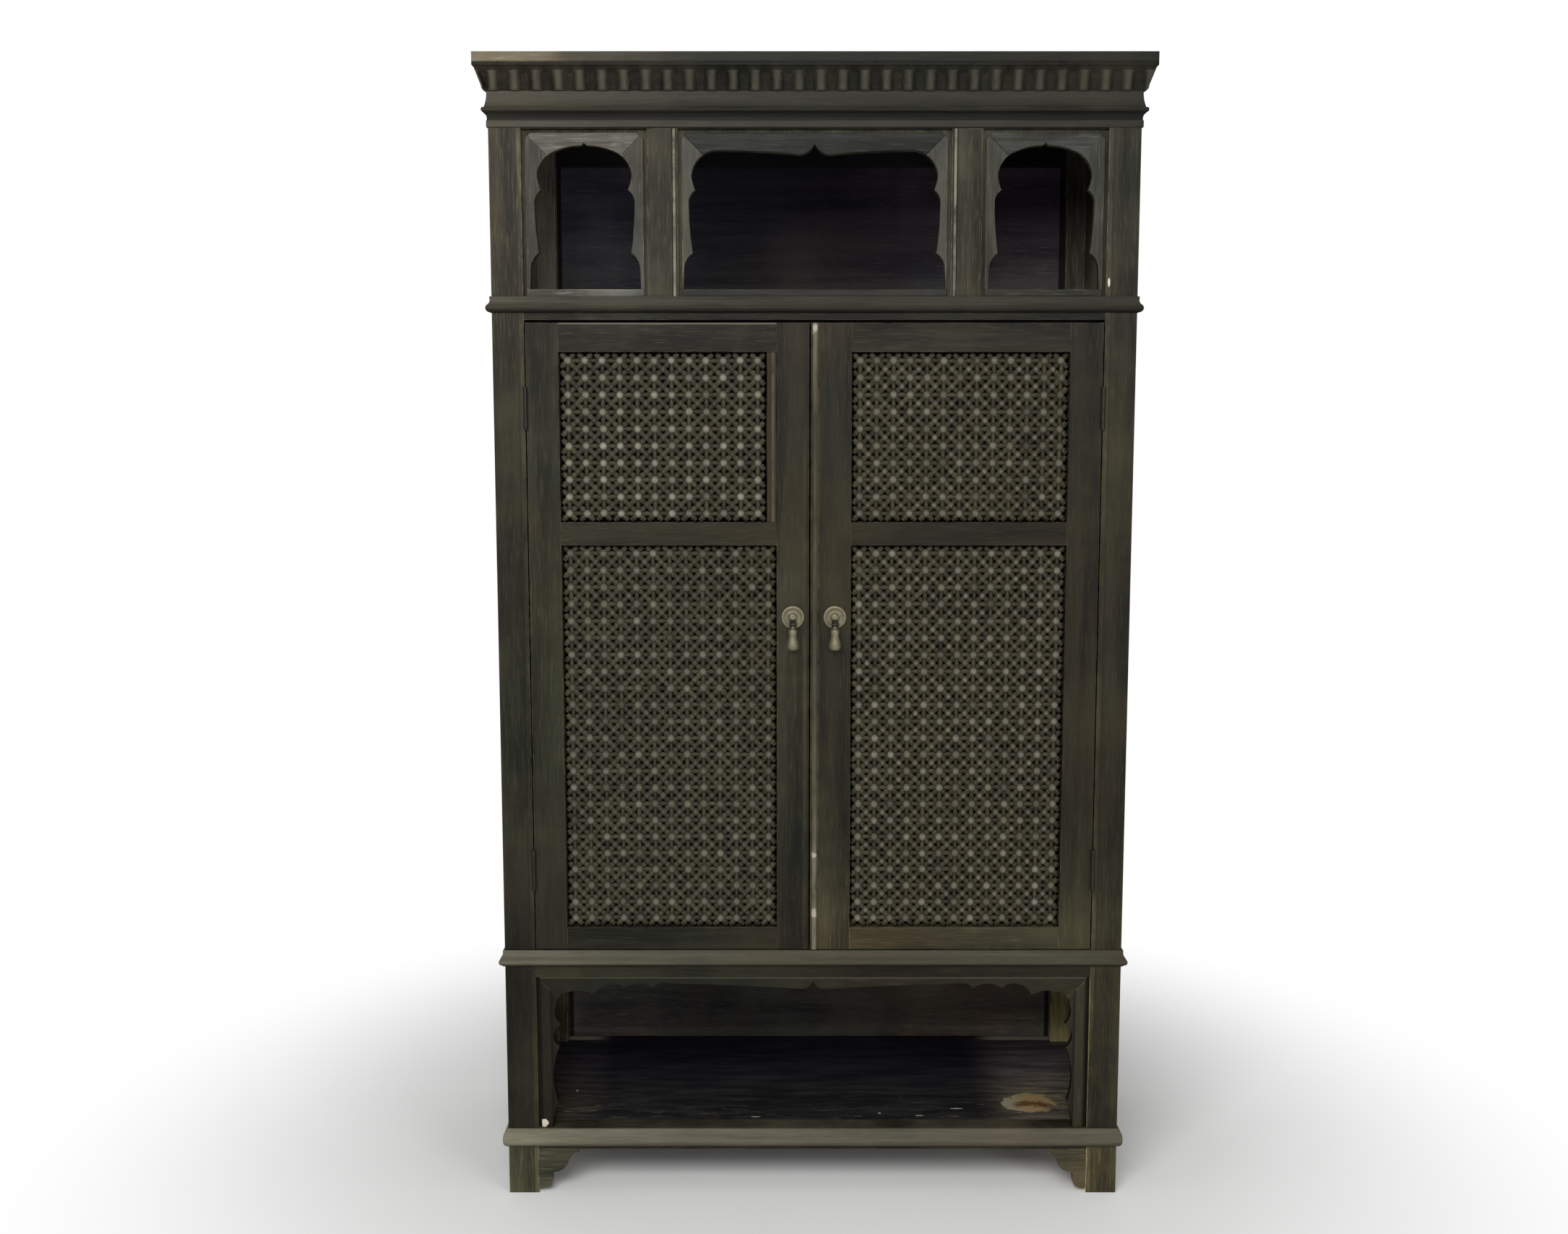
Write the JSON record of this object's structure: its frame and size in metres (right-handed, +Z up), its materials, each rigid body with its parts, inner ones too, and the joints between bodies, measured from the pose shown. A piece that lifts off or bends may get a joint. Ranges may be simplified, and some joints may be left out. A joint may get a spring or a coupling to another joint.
{
  "type": "cabinet",
  "caption": "Tall dark carved wooden cabinet: scalloped arch niche on top, hinged doors with turned lattice and drop pulls, open lower compartment, bracket feet.",
  "frame": {"origin": "on the floor, under the middle of the overall box (cornice included)", "axes": "+Z up; -Y out of the front face, towards the person opening the doors; +X to the right seen from the front"},
  "size_m": [1.102, 0.4754, 1.93],
  "materials": {
    "ebonised_wood": "dark ebonised wood, satin with worn edges",
    "panel_wood": "dark ebonised panels",
    "back_wood": "dark stained boards",
    "board_wood": "dark dusty boards, scratched",
    "slab_wood": "dark ebonised wood, rubbed edges",
    "moulding_wood": "dark ebonised mouldings, dusty",
    "arch_wood": "dark ebonised scalloped boards",
    "door_wood": "dark ebonised door frames",
    "lattice_wood": "turned lattice, dark with brown rubbed balls",
    "bead_wood": "worn light bead",
    "hinge_brass": "dull, darkened brass",
    "pull_brass": "aged brass"
  },
  "bodies": {
    "carcass": {"post_front_left": "ebonised_wood", "post_front_right": "ebonised_wood", "post_back_left": "ebonised_wood", "post_back_right": "ebonised_wood", "front_top_rail": "ebonised_wood", "front_waist_rail": "ebonised_wood", "front_lower_rail": "ebonised_wood", "front_base_rail": "ebonised_wood", "side_rails_left": "ebonised_wood", "side_rails_right": "ebonised_wood", "side_panels_left": "panel_wood", "side_panels_right": "panel_wood", "back_rails": "back_wood", "back_panels": "back_wood", "niche_mullion_left": "ebonised_wood", "niche_mullion_right": "ebonised_wood", "compartment_floor": "board_wood", "cupboard_floor": "board_wood", "niche_floor": "board_wood", "shelves": "board_wood", "shelf_cleats": "board_wood", "door_stops": "board_wood", "top_slab": "slab_wood", "cornice_front": "moulding_wood", "cornice_left": "moulding_wood", "cornice_right": "moulding_wood", "neck_moulding": "moulding_wood", "waist_moulding": "moulding_wood", "lower_moulding": "moulding_wood", "base_moulding": "moulding_wood", "niche_arch_left": "arch_wood", "niche_arch_centre": "arch_wood", "niche_arch_right": "arch_wood", "lower_arch": "arch_wood", "foot_bracket_front_left": "ebonised_wood", "foot_bracket_front_right": "ebonised_wood", "foot_brackets_left": "ebonised_wood", "foot_brackets_right": "ebonised_wood", "hinge_frame_leaves": "hinge_brass"},
    "left_door": {"left_door_hinge_stile": "door_wood", "left_door_meeting_stile": "door_wood", "left_door_rails": "door_wood", "left_door_lattice_lower": "lattice_wood", "left_door_lattice_upper": "lattice_wood", "left_hinge_door_leaves": "hinge_brass", "left_pull_plate": "pull_brass"},
    "right_door": {"right_door_hinge_stile": "door_wood", "right_door_meeting_stile": "door_wood", "right_door_rails": "door_wood", "right_door_lattice_lower": "lattice_wood", "right_door_lattice_upper": "lattice_wood", "right_door_meeting_bead": "bead_wood", "right_hinge_door_leaves": "hinge_brass", "right_pull_plate": "pull_brass"},
    "left_pull": {"left_pull_drop": "pull_brass"},
    "right_pull": {"right_pull_drop": "pull_brass"}
  },
  "joints": [
    {"name": "left_door_hinge", "type": "hinge", "parent": "carcass", "child": "left_door", "pos_m": [-0.477, -0.21635, 0.97125], "axis": [0, 0, -1], "range_deg": [0, 165]},
    {"name": "right_door_hinge", "type": "hinge", "parent": "carcass", "child": "right_door", "pos_m": [0.477, -0.21635, 0.97125], "axis": [0, 0, 1], "range_deg": [0, 165]},
    {"name": "left_pull_hinge", "type": "hinge", "parent": "left_door", "child": "left_pull", "pos_m": [-0.03525, -0.22735, 1.004], "axis": [-1, 0, 0], "range_deg": [0, 95]},
    {"name": "right_pull_hinge", "type": "hinge", "parent": "right_door", "child": "right_pull", "pos_m": [0.03525, -0.22735, 1.004], "axis": [-1, 0, 0], "range_deg": [0, 95]}
  ]
}
